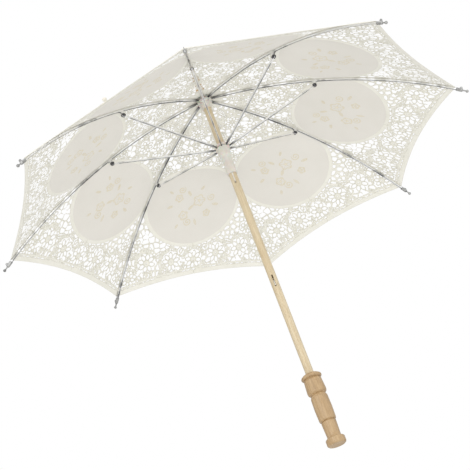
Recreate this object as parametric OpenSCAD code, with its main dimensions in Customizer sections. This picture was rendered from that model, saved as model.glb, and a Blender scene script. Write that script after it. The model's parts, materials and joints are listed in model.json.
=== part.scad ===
// Lace parasol with a wooden stick, eight metal ribs and a sliding runner.
// The origin is on the stick's axis at the foot of the handle, +Z runs up the stick.
// Sizes are in millimetres, angles in degrees. The parasol is drawn open.

/* [Frame] */
// Radius from the stick's axis to the ball at a rib's end, open
canopy_r = 310; // [260:5:380]
// Depth of that ball below the rib hinges, open
canopy_drop = 126; // [100:2:150]
// Radius of the bow that the stretched cloth gives a rib
rib_bow_r = 600; // [500:10:900]
// Height of the rib hinges above the foot of the handle
hinge_z = 490; // [450:5:600]
// How far outside the stick the circle of the rib and stretcher hinges lies
hinge_out = 2.5; // [2.5:0.1:4]
// Radius at which a stretcher is riveted to its rib
joint_r = 138.6; // [120:2:150]
// How far that rivet hangs below the middle of the rib
saddle_drop = 6.5; // [5:0.5:9]
// Angle that a rib swings through between open and closed
fold_angle = 64.3; // [55:0.5:66]

/* [Ribs and stretchers] */
// Width of a rib's steel channel
rib_w = 2.5; // [2.4:0.1:3.4]
// Height of a rib's steel channel
rib_h = 2; // [1.8:0.1:3]
// Width of a stretcher's steel channel
stretcher_w = 2; // [1.8:0.1:2.6]
// Height of a stretcher's steel channel
stretcher_h = 2; // [1.8:0.1:2.6]
// Thickness of the channel steel
steel_t = 0.4; // [0.3:0.05:0.5]
// Thickness of the flattened hinge ends
blade_t = 1; // [0.8:0.05:1.1]
// Radius of the rounded hinge ends
eye_r = 1.5; // [1.3:0.1:1.8]
// Radius of the rivet between a rib and its stretcher
rivet_r = 0.6; // [0.5:0.05:0.8]
// Length of the cap on a rib's end, from its mouth to the ball
tip_l = 14; // [13:1:24]
// Length of rib inside that cap
tip_socket_l = 6; // [4:0.5:8]
// Radius of the ball on the cap
tip_ball_r = 1.9; // [1.6:0.1:2.4]

/* [Stick] */
// Diameter of the wooden stick
stick_d = 10; // [9:0.5:12]
// Length of the turned handle
handle_l = 90; // [70:2:120]
// Largest radius of the turned handle
handle_r = 12.4; // [11:0.2:15]
// Depth that the stick is glued into the handle
tenon_l = 35; // [20:1:50]
// Height that the ferrule stands above the rib hinges
ferrule_top = 39; // [30:1:60]
// How far the ferrule's foot stands out from the stick
ferrule_out = 2; // [1.5:0.25:4]
// Radius of the ferrule's straight end
ferrule_end_r = 4.5; // [4:0.25:5.5]
// Length of the ferrule's straight end
ferrule_end_l = 16; // [10:1:24]
// Depth that the stick is glued into the ferrule
ferrule_bore_l = 8; // [6:1:9]

/* [Hubs] */
// How far the notch and the runner's crown stand out from the stick
hub_out = 4.5; // [4.5:0.1:6]
// Radius of the hinge wires
wire_r = 0.45; // [0.4:0.05:0.5]
// Length of the runner below its stretcher hinges
runner_l = 40; // [26:1:45]
// Wall of the runner's sleeve
runner_wall = 1.1; // [1:0.05:1.6]
// How far the collar that holds the runner's catch groove stands out from the stick
collar_out = 3; // [2.8:0.1:4]
// Length of a catch slot in the stick
slot_l = 16; // [14:1:22]
// Width of a catch slot in the stick
slot_w = 1.8; // [1.6:0.1:2.2]
// How far a catch's nose stands out of the stick
nose_out = 1.5; // [1.2:0.1:1.7]

/* [Canopy] */
// How far the hem curves in between two ribs
hem_sag = 10; // [4:1:45]
// How far the cloth hollows between two ribs
gore_sag = 3; // [0:0.5:6]
// Thickness of the lace cloth
cloth_t = 0.8; // [0.6:0.1:1.5]
// Radius of the cloth cap round the ferrule
crown_r = 17; // [14:0.5:24]
// Radius of the closing button on the hem
button_r = 2.6; // [2:0.1:4]

/* [Fits] */
// Gap of a hinge pin in its eye
pin_gap = 0.05; // [0.02:0.01:0.08]
// Gap on each side of a flattened end in its slot or fork
side_gap = 0.2; // [0.15:0.05:0.3]
// Gap of the runner round the stick
slide_gap = 0.25; // [0.2:0.05:0.4]
// Gap between the cloth and the pieces under it
cloth_gap = 0.3; // [0.3:0.05:0.6]
// Gap between the panels of two neighbouring ribs
seam_gap = 0.3; // [0.2:0.05:0.6]
// Gap between the canopy's corner and the mouth of the cap
corner_gap = 0.6; // [0.3:0.1:3]

/* [Hidden] */
$fn = 64;

// Colours
wood = [0.86, 0.79, 0.64];
turned_wood = [0.85, 0.72, 0.55];
steel = [0.62, 0.63, 0.64];
white_plastic = [0.93, 0.92, 0.88];
lace = [0.94, 0.92, 0.86];

// The parasol has eight ribs, spread evenly
ribs = 8;
rib_pitch = 360 / ribs;
cut = 0.01;
stick_r = stick_d / 2;
hinge_r = stick_r + hinge_out;
hub_r = stick_r + hub_out;
collar_r = stick_r + collar_out;
ferrule_r = stick_r + ferrule_out;

// The bowed rib is an arc through its hinge and its ball, in the rib's own upright plane
tip_dx = canopy_r - hinge_r;
chord = norm([tip_dx, canopy_drop]);
bow_h = sqrt(rib_bow_r * rib_bow_r - chord * chord / 4);
bow_x = hinge_r + tip_dx / 2 - bow_h * canopy_drop / chord;
bow_z = -canopy_drop / 2 - bow_h * tip_dx / chord;
hinge_turn = atan2(-bow_z, hinge_r - bow_x);
function turn_at(r, off = 0) = acos((r - bow_x) / (rib_bow_r + off));
function bow_point(turn, off = 0) =
    [bow_x + (rib_bow_r + off) * cos(turn), bow_z + (rib_bow_r + off) * sin(turn)];

// The rivet, and the stretcher that is as long as the rib from hinge to rivet
joint_turn = turn_at(joint_r, -saddle_drop);
joint = bow_point(joint_turn, -saddle_drop);
link_l = norm([joint[0] - hinge_r, joint[1]]);
open_angle = atan2(-joint[1], joint[0] - hinge_r);
runner_z = hinge_z - 2 * link_l * sin(open_angle);
closed_runner_z = hinge_z - 2 * link_l * sin(open_angle + fold_angle);

// Places along the rib
channel_start = turn_at(hub_r + 3);
blade_end = turn_at(hub_r + 12);
ball_turn = turn_at(canopy_r);
deg_per_mm = 180 / (PI * rib_bow_r);
tip_turn = ball_turn + tip_l * deg_per_mm;
rib_end_turn = tip_turn - tip_socket_l * deg_per_mm;

// Hubs
hub_top = eye_r + 0.5;
slot_top = eye_r + 0.1;
hub_slot_bottom = 4;
slot_floor_r = hinge_r - eye_r - 0.1;
skirt_r = slot_floor_r + 0.5;
skirt_l = 9;
bore_r = stick_r + slide_gap;
sleeve_r = bore_r + runner_wall;
groove_depth = 1.75;
groove_z = -8;
groove_h = 7.2;
collar_l = 12.5;

// Catches: a flat spring on a pin, with a wedge nose that stands out of the stick
leaf_t = 1;
catch_w = slot_w - 2 * side_gap;
catch_pin_r = 0.5;
nose_h = 6;
catch_l = slot_l - 5;
slot_depth = stick_d * 0.72;
catch_y = -stick_r * 0.2;
top_nose_z = runner_z - runner_l - cloth_gap;
bottom_nose_z = closed_runner_z + groove_z - groove_h / 2 + cloth_gap;

// ---- Stick ----

// Slot cut along Z from the foot up, open on the -Y side
module catch_slot(foot_z) {
    translate([-slot_w / 2, -stick_r - cut, foot_z])
        cube([slot_w, slot_depth, slot_l]);
}

// A catch's pin runs across the stick along X
module cross_hole(z, y, r) {
    translate([0, y, z])
        rotate([0, 90, 0])
            cylinder(h = 2 * stick_d, r = r, center = true);
}

top_slot_foot = top_nose_z - slot_l + 1;
top_pin_z = top_nose_z - catch_l;
bottom_slot_foot = bottom_nose_z - 1;
bottom_pin_z = bottom_nose_z + catch_l;
stick_foot = handle_l - tenon_l;
crown_room = 4.5;
ferrule_foot = hinge_z + hub_top + crown_room;
stick_top = ferrule_foot + ferrule_bore_l;
notch_pin_z = hinge_z - hub_slot_bottom - skirt_l / 2 - 0.5;
notch_pin_r = 0.7;
stop_pin_r = 0.7;
stop_pin_z = runner_z + hub_slot_bottom + stop_pin_r + cloth_gap;

module stick() {
    color(wood)
        difference() {
            translate([0, 0, stick_foot])
                cylinder(h = stick_top - stick_foot, r = stick_r);
            catch_slot(top_slot_foot);
            catch_slot(bottom_slot_foot);
            cross_hole(top_pin_z, catch_y, catch_pin_r);
            cross_hole(bottom_pin_z, catch_y, catch_pin_r);
            rotate([0, 0, rib_pitch / 2])
                cross_hole(notch_pin_z, 0, notch_pin_r);
            cross_hole(stop_pin_z, 0, stop_pin_r);
        }
}

// ---- Handle ----

// Arc of points from angle a to angle b round a centre
function arc(c, r, a, b, n) = [for (i = [0:n]) c + r * [cos(a + (b - a) * i / n), sin(a + (b - a) * i / n)]];

foot_round = 2.5;
bead_round = 2.1;
lip_round = 1.4;
knob_r = handle_r * 0.93;
knob_l = 8.5;
waist_r = handle_r * 0.66;
barrel_r = handle_r * 0.82;
drum_r = handle_r * 0.93;
neck_r = handle_r * 0.78;
lower_groove_z = handle_l * 0.33;
upper_groove_z = handle_l * 0.71;
bead_z = handle_l - 2 * bead_round - lip_round;
groove_w = 1.2;
groove_deep = 0.8;

handle_outline = concat(
    [[0, 0]],
    arc([knob_r - foot_round, foot_round], foot_round, -90, 0, 8),
    arc([knob_r - 1.5, knob_l - 1.5], 1.5, 0, 80, 6),
    [[waist_r + 0.8, knob_l + 0.6], [waist_r, knob_l + 2.4], [waist_r + 0.1, knob_l + 5]],
    [[barrel_r - 1.3, lower_groove_z - groove_w], [barrel_r - 1.6 - groove_deep, lower_groove_z]],
    [[barrel_r - 0.4, lower_groove_z + groove_w], [barrel_r, lower_groove_z + 3]],
    [[barrel_r + 0.35, (lower_groove_z + upper_groove_z) / 2], [barrel_r, upper_groove_z - 4]],
    [[barrel_r - 0.9, upper_groove_z - 1.4], [barrel_r - groove_deep - 0.9, upper_groove_z]],
    [[drum_r - 1.2, upper_groove_z + 1.2], [drum_r - 0.3, upper_groove_z + 2.4]],
    [[drum_r, upper_groove_z + 4.5], [drum_r - 0.2, upper_groove_z + 8]],
    [[drum_r - 0.9, bead_z - 2.4], [neck_r, bead_z - 0.6], [neck_r, bead_z]],
    arc([handle_r - bead_round, bead_z + bead_round], bead_round, -90, 90, 10),
    arc([handle_r - bead_round - 1.7, handle_l - lip_round], lip_round, -90, 90, 4),
    [[0, handle_l]]
);

module handle() {
    color(turned_wood)
        difference() {
            rotate_extrude()
                polygon(handle_outline);
            translate([0, 0, stick_foot])
                cylinder(h = tenon_l + 1, r = stick_r);
        }
}

// ---- Ferrule ----

ferrule_h = hinge_z + ferrule_top - ferrule_foot;
ferrule_round = 2;

ferrule_outline = concat(
    [[0, 0]],
    arc([ferrule_r - 1, 1], 1, -90, 0, 4),
    arc([ferrule_r - 1.2, 4], 1.2, 0, 90, 4),
    [[ferrule_r - 1.7, 6], [ferrule_r - 1, 9.5]],
    [[ferrule_r - 1.1, 10.5], [ferrule_end_r, ferrule_h - ferrule_end_l - ferrule_round]],
    arc([ferrule_end_r - ferrule_round, ferrule_h - ferrule_round], ferrule_round, 0, 90, 6),
    [[0, ferrule_h]]
);

module ferrule() {
    color(turned_wood)
        difference() {
            translate([0, 0, ferrule_foot])
                rotate_extrude()
                    polygon(ferrule_outline);
            translate([0, 0, ferrule_foot - cut])
                cylinder(h = stick_top - ferrule_foot + cut, r = stick_r);
        }
}

// ---- Hubs ----

// One slot for a flattened end; low and high are its ends below and above the hinges
module hub_slots(low, high) {
    for (i = [0:ribs - 1])
        rotate([0, 0, i * rib_pitch])
            translate([slot_floor_r, -blade_t / 2 - side_gap, -low])
                cube([hub_r, blade_t + 2 * side_gap, low + high]);
}

// Groove that the ring wire is laid into
module wire_groove() {
    rotate_extrude()
        translate([hinge_r - wire_r - pin_gap, -wire_r - pin_gap])
            square([hub_r, 2 * (wire_r + pin_gap)]);
}

module top_notch() {
    color(steel)
        difference() {
            translate([0, 0, hinge_z])
                difference() {
                    union() {
                        translate([0, 0, -hub_slot_bottom])
                            cylinder(h = hub_slot_bottom + hub_top, r = hub_r);
                        translate([0, 0, -hub_slot_bottom - skirt_l])
                            cylinder(h = skirt_l + 1, r = skirt_r);
                    }
                    hub_slots(hub_slot_bottom + cut, slot_top);
                    wire_groove();
                    translate([0, 0, -hub_slot_bottom - skirt_l - cut])
                        cylinder(h = 4 * skirt_l, r = stick_r);
                }
            rotate([0, 0, rib_pitch / 2])
                cross_hole(notch_pin_z, 0, notch_pin_r);
        }
}

module ring_wire(z) {
    color(steel)
        translate([0, 0, z])
            rotate_extrude()
                translate([hinge_r, 0])
                    circle(r = wire_r, $fn = 24);
}

module notch_wire() {
    ring_wire(hinge_z);
}

module runner_wire() {
    ring_wire(runner_z);
}

module notch_pin() {
    color(steel)
        rotate([0, 0, rib_pitch / 2])
            translate([-skirt_r, 0, notch_pin_z])
                rotate([0, 90, 0])
                    cylinder(h = 2 * skirt_r, r = notch_pin_r);
}

// The stop pin stands out of the stick on both sides, over the open runner
stop_pin_out = 2;

module stop_pin() {
    color(steel)
        translate([-stick_r - stop_pin_out, 0, stop_pin_z])
            rotate([0, 90, 0])
                cylinder(h = stick_d + 2 * stop_pin_out, r = stop_pin_r);
}

module runner() {
    color(white_plastic)
        translate([0, 0, runner_z])
            difference() {
                union() {
                    translate([0, 0, -hub_top])
                        cylinder(h = hub_slot_bottom + hub_top, r = hub_r);
                    translate([0, 0, -collar_l])
                        cylinder(h = collar_l - hub_top + cut, r = collar_r);
                    translate([0, 0, -collar_l - (collar_r - sleeve_r)])
                        cylinder(h = collar_r - sleeve_r + cut, r1 = sleeve_r, r2 = collar_r);
                    translate([0, 0, -runner_l])
                        cylinder(h = runner_l, r = sleeve_r);
                }
                translate([0, 0, -runner_l - cut])
                    cylinder(h = 2 * runner_l, r = bore_r);
                hub_slots(slot_top, hub_slot_bottom + cut);
                wire_groove();
                translate([0, 0, groove_z - groove_h / 2])
                    cylinder(h = groove_h, r = bore_r + groove_depth);
            }
}

// ---- Catches ----

// Side view of a catch in Y and Z, nose up, pin at the origin
catch_outline = [
    [-leaf_t, 0],
    [-stick_r - catch_y + 0.4, catch_l - nose_h],
    [-stick_r - nose_out - catch_y, catch_l - 1.2],
    [-stick_r - nose_out - catch_y, catch_l],
    [-stick_r - catch_y + 1.6, catch_l],
    [-stick_r - catch_y + 1.6, catch_l - nose_h + 1.5],
    [leaf_t, 0]
];

module catch_spring() {
    color(steel)
        difference() {
            union() {
                rotate([90, 0, 90])
                    linear_extrude(height = catch_w, center = true)
                        polygon(catch_outline);
                rotate([0, 90, 0])
                    cylinder(h = catch_w, r = leaf_t, center = true);
            }
            rotate([0, 90, 0])
                cylinder(h = 2 * catch_w, r = catch_pin_r + pin_gap, center = true);
        }
}

module catch_pin(z) {
    color(steel)
        translate([0, catch_y, z])
            rotate([0, 90, 0])
                cylinder(h = stick_d - 1, r = catch_pin_r, center = true);
}

module top_catch() {
    translate([0, catch_y, top_pin_z])
        catch_spring();
}

module bottom_catch() {
    translate([0, catch_y, bottom_pin_z])
        mirror([0, 0, 1])
            catch_spring();
}

module top_catch_pin() {
    catch_pin(top_pin_z);
}

module bottom_catch_pin() {
    catch_pin(bottom_pin_z);
}

// ---- Ribs ----

// Stands what follows in the upright plane of rib i, at the height of the hinges
module at_rib(i) {
    rotate([0, 0, (i - 1) * rib_pitch])
        translate([0, 0, hinge_z])
            children();
}

// Sweeps a section along the bow from one turn to a larger one
module along_bow(from, to) {
    translate([bow_x, 0, bow_z])
        rotate([90, 0, 0])
            rotate([0, 0, from])
                rotate_extrude(angle = to - from, $fn = 360)
                    translate([rib_bow_r, 0])
                        children();
}

// A channel's section, open downwards
module channel_section(w, h, t) {
    polygon([
        [-h / 2, -w / 2], [h / 2, -w / 2], [h / 2, w / 2], [-h / 2, w / 2],
        [-h / 2, w / 2 - t], [h / 2 - t, w / 2 - t], [h / 2 - t, -w / 2 + t], [-h / 2, -w / 2 + t]
    ]);
}

fork_gap = blade_t + 2 * side_gap;
ear_t = (rib_w - fork_gap) / 2;
saddle_l = 7;

// Saddle: two ears under the rib that hold the rivet
module saddle() {
    translate([joint[0], 0, joint[1]])
        rotate([0, 90 - joint_turn, 0])
            for (side = [-1, 1])
                translate([0, side * (fork_gap + ear_t) / 2, 0])
                    difference() {
                        union() {
                            rotate([90, 0, 0])
                                cylinder(h = ear_t, r = eye_r, center = true);
                            translate([-eye_r, -ear_t / 2, 0])
                                cube([2 * eye_r, ear_t, saddle_drop]);
                            translate([-saddle_l / 2, -ear_t / 2, saddle_drop - rib_h / 2 - 1])
                                cube([saddle_l, ear_t, 1 + rib_h / 2]);
                        }
                        rotate([90, 0, 0])
                            cylinder(h = 2 * ear_t, r = rivet_r, center = true);
                    }
}

module rib(i) {
    color(steel)
        at_rib(i)
            difference() {
                union() {
                    along_bow(rib_end_turn, channel_start)
                        channel_section(rib_w, rib_h, steel_t);
                    along_bow(blade_end, hinge_turn)
                        translate([-rib_h / 2, -blade_t / 2])
                            square([rib_h - steel_t / 2, blade_t]);
                    translate([hinge_r, 0, 0])
                        rotate([90, 0, 0])
                            cylinder(h = blade_t, r = eye_r, center = true);
                    saddle();
                }
                translate([hinge_r, 0, 0])
                    rotate([90, 0, 0])
                        cylinder(h = 2 * blade_t, r = wire_r + pin_gap, center = true);
            }
}

rivet_head = 0.5;

module rivet(i) {
    color(steel)
        at_rib(i)
            translate([joint[0], 0, joint[1]])
                rotate([90, 0, 0]) {
                    cylinder(h = rib_w, r = rivet_r, center = true);
                    for (side = [-1, 1])
                        translate([0, 0, side * (rib_w + rivet_head) / 2])
                            cylinder(h = rivet_head, r = 2 * rivet_r, center = true);
                }
}

// ---- Stretchers ----

stretcher_blade_l = 9;

// The stretcher lies along X from the runner's wire to the rivet, before it is tilted
module stretcher(i) {
    color(steel)
        at_rib(i)
            translate([hinge_r, 0, runner_z - hinge_z])
                rotate([0, -open_angle, 0])
                    difference() {
                        union() {
                            for (x = [0, link_l])
                                translate([x, 0, 0])
                                    rotate([90, 0, 0])
                                        cylinder(h = blade_t, r = eye_r, center = true);
                            for (x = [0, link_l - stretcher_blade_l])
                                translate([x, -blade_t / 2, -stretcher_h / 2])
                                    cube([stretcher_blade_l, blade_t, stretcher_h - steel_t / 2]);
                            translate([stretcher_blade_l - 3, 0, 0])
                                rotate([90, 0, 90])
                                    linear_extrude(height = link_l - 2 * stretcher_blade_l + 6)
                                        rotate([0, 0, 90])
                                            channel_section(stretcher_w, stretcher_h, steel_t);
                        }
                        rotate([90, 0, 0])
                            cylinder(h = 2 * blade_t, r = wire_r + pin_gap, center = true);
                        translate([link_l, 0, 0])
                            rotate([90, 0, 0])
                                cylinder(h = 2 * blade_t, r = rivet_r + pin_gap, center = true);
                    }
}

// ---- Rib tips ----

tip_bore_r = norm([rib_w, rib_h]) / 2 + pin_gap;
tip_r = tip_bore_r + 0.5;
tip_sleeve_l = tip_socket_l + 1.5;
tip_neck_r = 0.9;
tip_eye_r = 1.8;
tip_eye_hole_r = 0.7;
tip_eye_x = tip_sleeve_l - tip_eye_r;

// The cap runs along X from its mouth to the ball, before it is tilted
module rib_tip(i) {
    mouth = bow_point(tip_turn);
    color(steel)
        at_rib(i)
            translate([mouth[0], 0, mouth[1]])
                rotate([0, 90 - tip_turn, 0])
                    difference() {
                        union() {
                            rotate([0, 90, 0])
                                cylinder(h = tip_sleeve_l, r = tip_r);
                            translate([tip_sleeve_l, 0, 0])
                                rotate([0, 90, 0])
                                    cylinder(h = 1.5, r1 = tip_r, r2 = tip_neck_r);
                            rotate([0, 90, 0])
                                cylinder(h = tip_l, r = tip_neck_r);
                            translate([tip_l, 0, 0])
                                sphere(r = tip_ball_r);
                            translate([tip_eye_x, 0, tip_r + 0.6])
                                rotate([90, 0, 0])
                                    cylinder(h = 1, r = tip_eye_r, center = true);
                        }
                        translate([-cut, 0, 0])
                            rotate([0, 90, 0])
                                cylinder(h = tip_socket_l + 0.3, r = tip_bore_r);
                        translate([tip_eye_x, 0, tip_r + 1])
                            rotate([90, 0, 0])
                                cylinder(h = 4, r = tip_eye_hole_r, center = true);
                    }
}

// ---- Canopy ----

// The cloth falls away to both sides of a rib, so its low face is raised to clear the rib's edges
crease = rib_w / 2 * (sin(rib_pitch / 2) / tan(ball_turn) + 0.07 * gore_sag);
cloth_low = rib_h / 2 + crease + cloth_gap;
panel_start_r = hub_r + 2.5;
rows = 14;
cols = 10;
corner_r = bow_point(tip_turn, cloth_low)[0] - corner_gap;
start_turn = turn_at(panel_start_r, cloth_low);

// Radius of the hem at side share v: 0 on the rib, 1 half way to the next rib
function hem_r(v) = corner_r - hem_sag * (1 - (1 - v) * (1 - v));

// Point of the stretched cloth at row share u and side share v, lift above the low face
function cloth_point(u, v, lift) =
    let (
        w = abs(v),
        off = cloth_low + lift,
        turn = start_turn + (turn_at(hem_r(w), off) - start_turn) * u,
        p = bow_point(turn, off),
        lean = w * sin(rib_pitch) / 2,
        hollow = gore_sag * w * (2 - w) * sin(180 * u)
    )
    [p[0] * (1 - w * (1 - cos(rib_pitch)) / 2), sign(v) * p[0] * lean, p[1] - hollow];

// Side share at which a panel ends, half a seam gap short of the middle of the gore
function seam_share(u) =
    let (r = panel_start_r + (hem_r(1) - panel_start_r) * u)
    1 - seam_gap / (2 * r * sin(rib_pitch / 2));

panel_points = [
    for (lift = [0, cloth_t]) for (r = [0:rows]) for (c = [0:cols])
        cloth_point(r / rows, (2 * c / cols - 1) * seam_share(r / rows), lift)
];
panel_side = (rows + 1) * (cols + 1);
function panel_at(layer, r, c) = layer * panel_side + r * (cols + 1) + c;

panel_faces = concat(
    [for (r = [0:rows - 1]) for (c = [0:cols - 1]) each [
        [panel_at(0, r, c), panel_at(0, r, c + 1), panel_at(0, r + 1, c + 1)],
        [panel_at(0, r, c), panel_at(0, r + 1, c + 1), panel_at(0, r + 1, c)],
        [panel_at(1, r, c), panel_at(1, r + 1, c + 1), panel_at(1, r, c + 1)],
        [panel_at(1, r, c), panel_at(1, r + 1, c), panel_at(1, r + 1, c + 1)]
    ]],
    [for (r = [0:rows - 1]) each [
        [panel_at(0, r, 0), panel_at(0, r + 1, 0), panel_at(1, r + 1, 0)],
        [panel_at(0, r, 0), panel_at(1, r + 1, 0), panel_at(1, r, 0)],
        [panel_at(0, r, cols), panel_at(1, r + 1, cols), panel_at(0, r + 1, cols)],
        [panel_at(0, r, cols), panel_at(1, r, cols), panel_at(1, r + 1, cols)]
    ]],
    [for (c = [0:cols - 1]) each [
        [panel_at(0, 0, c), panel_at(1, 0, c + 1), panel_at(0, 0, c + 1)],
        [panel_at(0, 0, c), panel_at(1, 0, c), panel_at(1, 0, c + 1)],
        [panel_at(0, rows, c), panel_at(0, rows, c + 1), panel_at(1, rows, c + 1)],
        [panel_at(0, rows, c), panel_at(1, rows, c + 1), panel_at(1, rows, c)]
    ]]
);

module canopy_panel(i) {
    color(lace)
        at_rib(i)
            polyhedron(points = panel_points, faces = panel_faces);
}

// Height over the hinges at which a piece clears the top of the cloth
function over_cloth(r) = bow_point(turn_at(r, cloth_low + cloth_t))[1] + cloth_low + cloth_t + cloth_gap;

crown_flat_r = hub_r + 0.5;
crown_foot = over_cloth(crown_flat_r);
crown_edge = over_cloth(crown_r);

module crown_cap() {
    color(lace)
        translate([0, 0, hinge_z])
            rotate_extrude()
                polygon([
                    [stick_r, crown_foot], [crown_flat_r, crown_foot], [crown_r, crown_edge],
                    [crown_r, crown_edge + cloth_t], [hub_r, crown_foot + 1.4], [stick_r, crown_foot + 2]
                ]);
}

// ---- Closing button and loop, on the hem half way between two ribs ----

button_rib = 6;
button_share = 0.94;
loop_r = 4;
loop_wire_r = 0.6;

module closure_button() {
    color(lace)
        at_rib(button_rib)
            translate(cloth_point(button_share, button_share, cloth_t + button_r))
                sphere(r = button_r, $fn = 48);
}

// The loop hangs from the hem, in the slope of the cloth
module closure_loop() {
    hem = cloth_point(1, 1, cloth_t / 2);
    slope = 90 - turn_at(hem_r(1), cloth_low);
    color(lace)
        at_rib(button_rib)
            rotate([0, 0, rib_pitch / 2])
                translate([norm([hem[0], hem[1]]), 0, hem[2]])
                    rotate([0, slope, 0])
                        translate([loop_r + 2 * loop_wire_r, 0, 0])
                            rotate_extrude()
                                translate([loop_r, 0])
                                    circle(r = loop_wire_r, $fn = 24);
}

stick();
handle();
ferrule();
top_notch();
notch_wire();
notch_pin();
stop_pin();
runner();
runner_wire();
top_catch();
top_catch_pin();
bottom_catch();
bottom_catch_pin();
crown_cap();
closure_button();
closure_loop();
for (i = [1:ribs]) {
    rib(i);
    rib_tip(i);
    stretcher(i);
    rivet(i);
    canopy_panel(i);
}
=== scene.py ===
import json
import math

import bmesh
import bpy
import numpy as np
from mathutils import Matrix, Vector


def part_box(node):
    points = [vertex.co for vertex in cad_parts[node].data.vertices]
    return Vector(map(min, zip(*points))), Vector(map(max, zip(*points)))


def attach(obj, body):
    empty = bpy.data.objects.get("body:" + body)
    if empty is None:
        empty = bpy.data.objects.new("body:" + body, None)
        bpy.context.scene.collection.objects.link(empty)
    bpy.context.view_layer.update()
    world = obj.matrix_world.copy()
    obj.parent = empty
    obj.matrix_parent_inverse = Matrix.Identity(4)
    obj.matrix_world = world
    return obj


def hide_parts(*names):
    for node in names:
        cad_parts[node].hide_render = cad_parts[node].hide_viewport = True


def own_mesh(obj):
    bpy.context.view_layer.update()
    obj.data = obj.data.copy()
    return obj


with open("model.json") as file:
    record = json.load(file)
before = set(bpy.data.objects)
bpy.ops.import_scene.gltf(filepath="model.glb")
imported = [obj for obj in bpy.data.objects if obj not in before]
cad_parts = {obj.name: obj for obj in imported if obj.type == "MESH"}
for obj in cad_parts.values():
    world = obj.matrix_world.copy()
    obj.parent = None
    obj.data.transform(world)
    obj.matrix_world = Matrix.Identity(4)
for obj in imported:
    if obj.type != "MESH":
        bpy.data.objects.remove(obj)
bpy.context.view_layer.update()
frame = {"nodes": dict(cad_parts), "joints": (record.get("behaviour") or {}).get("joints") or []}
nodes = frame["nodes"]
joint_at = {j["name"]: Vector(j["pos_m"]) for j in frame["joints"]}
MM = 0.001

# ---- Camera ----
# It stands below the open parasol and looks up into it, so that the ribs lie in front of the lace.
camera_data = bpy.data.cameras.new("camera")
camera_data.lens = 107.68
camera_data.sensor_width = 36
camera = bpy.data.objects.new("camera", camera_data)
camera_forward = Vector((-0.0142, 0.8979, 0.4399)).normalized()
camera_up = Vector((0.3613, -0.4056, 0.8396))
camera_side = camera_forward.cross(camera_up).normalized()
camera_top = camera_side.cross(camera_forward)
camera_turn = Matrix((camera_side, camera_top, -camera_forward)).transposed()
camera.matrix_world = Matrix.Translation((0.0002, -1.5514, -0.4657)) @ camera_turn.to_4x4()
bpy.context.scene.collection.objects.link(camera)
bpy.context.scene.camera = camera
bpy.context.scene.view_settings.view_transform = "Standard"


# ---- Stick ----
# A 10 mm dowel of pale, straight-grained wood, sanded and clear lacquered.
# The grain runs along the stick and the lacquer evens the gloss.
def add(tree, kind, **inputs):
    """A shader node with some inputs set; an underscore in a name stands for a space."""
    node = tree.nodes.new(kind)
    for name, value in inputs.items():
        node.inputs[name.replace("_", " ")].default_value = value
    return node


def plug(tree, value, socket):
    """Links a value to a socket if it is another socket, or else sets it."""
    if isinstance(value, bpy.types.NodeSocket):
        tree.links.new(value, socket)
    else:
        socket.default_value = value


def arithmetic(tree, operation, *values):
    node = tree.nodes.new("ShaderNodeMath")
    node.operation = operation
    for value, socket in zip(values, node.inputs):
        plug(tree, value, socket)
    return node.outputs[0]


def vector_arithmetic(tree, operation, *values):
    node = tree.nodes.new("ShaderNodeVectorMath")
    node.operation = operation
    for value, socket in zip(values, node.inputs):
        plug(tree, value, socket)
    return node.outputs


def spread(tree, value, source=(0.0, 1.0), result=(0.0, 1.0)):
    """Carries a value from its source range to a resulting one."""
    node = add(
        tree, "ShaderNodeMapRange",
        From_Min=source[0], From_Max=source[1], To_Min=result[0], To_Max=result[1],
    )
    tree.links.new(value, node.inputs["Value"])
    return node.outputs[0]


def noise(tree, place, scale, **inputs):
    node = add(tree, "ShaderNodeTexNoise", **inputs)
    tree.links.new(place, node.inputs["Vector"])
    plug(tree, scale, node.inputs["Scale"])
    return node.outputs["Fac"]


def new_group(name, inputs, outputs):
    """A shader group with its two ends and the piece's own coordinates, still empty between."""
    group = bpy.data.node_groups.new(name, "ShaderNodeTree")
    for socket, value in inputs.items():
        entry = group.interface.new_socket(name=socket, in_out="INPUT", socket_type="NodeSocketFloat")
        entry.default_value = value
    for socket in outputs:
        group.interface.new_socket(name=socket, in_out="OUTPUT", socket_type="NodeSocketFloat")
    start = group.nodes.new("NodeGroupInput").outputs
    end = group.nodes.new("NodeGroupOutput").inputs
    place = group.nodes.new("ShaderNodeTexCoord").outputs["Object"]
    return group, start, end, place


def wood_grain_group():
    """Long fibres along Z, pores and slow bands: puts out a 0-1 tone, a pore mask and a height."""
    scales = {"Fibre scale": 60.0, "Band scale": 8.0, "Length ratio": 0.06}
    group, start, end, place = new_group("wood_grain", scales, ("Tone", "Pores", "Height"))
    stretch = add(group, "ShaderNodeCombineXYZ", X=1, Y=1)
    group.links.new(start["Length ratio"], stretch.inputs["Z"])
    along = vector_arithmetic(group, "MULTIPLY", place, stretch.outputs[0])[0]
    fine = arithmetic(group, "MULTIPLY", start["Fibre scale"], 10)
    broad = arithmetic(group, "MULTIPLY", start["Band scale"], 10)
    finest = arithmetic(group, "MULTIPLY", start["Fibre scale"], 45)
    fibre = noise(group, along, fine, Detail=6.0, Roughness=0.6)
    band = noise(group, along, broad, Detail=2.0, Distortion=0.6)
    pore = noise(group, along, finest, Detail=1.0)
    tone = arithmetic(group, "MULTIPLY_ADD", fibre, 0.55, arithmetic(group, "MULTIPLY", band, 0.45))
    pores = spread(group, pore, (0.60, 0.72))
    height = arithmetic(group, "MULTIPLY_ADD", pores, -0.6, fibre)
    for value, name in ((tone, "Tone"), (pores, "Pores"), (height, "Height")):
        group.links.new(value, end[name])
    return group


wood_grain = wood_grain_group()


def use_group(tree, group, **values):
    node = tree.nodes.new("ShaderNodeGroup")
    node.node_tree = group
    for name, value in values.items():
        node.inputs[name.replace("_", " ")].default_value = value
    return node.outputs


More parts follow.
